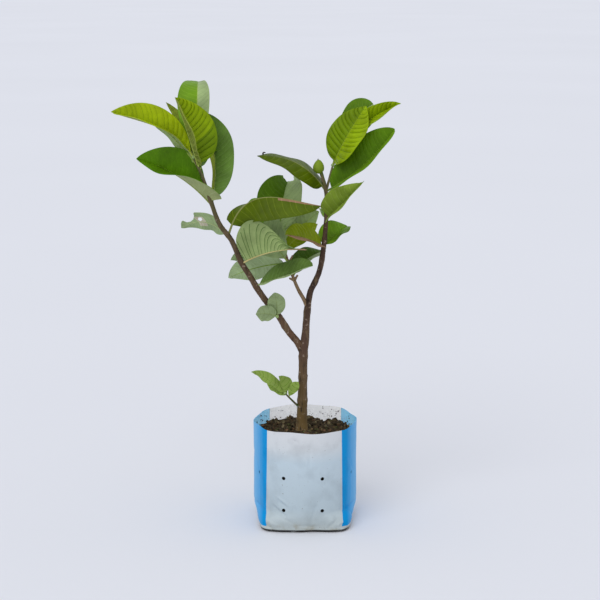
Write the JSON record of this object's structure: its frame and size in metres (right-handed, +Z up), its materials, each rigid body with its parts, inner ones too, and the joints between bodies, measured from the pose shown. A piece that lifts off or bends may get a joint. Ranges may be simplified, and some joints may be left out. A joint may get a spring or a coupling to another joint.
{
  "type": "guava tree in a nursery grow bag",
  "caption": "Young guava tree with two leafy boughs off a low fork, in a white film grow bag with blue side panels, filled with soil.",
  "frame": {"origin": "middle of the bag's flat underside, where it stands", "axes": "+Z up along the trunk, +X to the right of the front panel, +Y away from the front panel"},
  "size_m": [0.3484, 0.176, 0.5493],
  "materials": {
    "film_white": "white polythene film, creased, soft sheen",
    "film_blue": "blue polythene film, creased, soft sheen",
    "soil": "moist dark brown potting soil, crumbly",
    "bark": "thin brown bark with leaf scars and nodes",
    "leaf": "leathery green leaf with sunk side veins, paler underneath"
  },
  "bodies": {
    "root": {"grow_bag": "film_white", "blue_panel_left": "film_blue", "blue_panel_right": "film_blue", "soil": "soil", "trunk": "bark", "bough_right": "bark", "bough_left": "bark", "twig_centre": "bark", "foliage_left_lower": "leaf", "foliage_left_crown": "leaf", "foliage_centre": "leaf", "foliage_right_lower": "leaf", "foliage_right_crown": "leaf", "leaf_pair_low": "leaf", "basal_shoot": "leaf"}
  },
  "joints": []
}
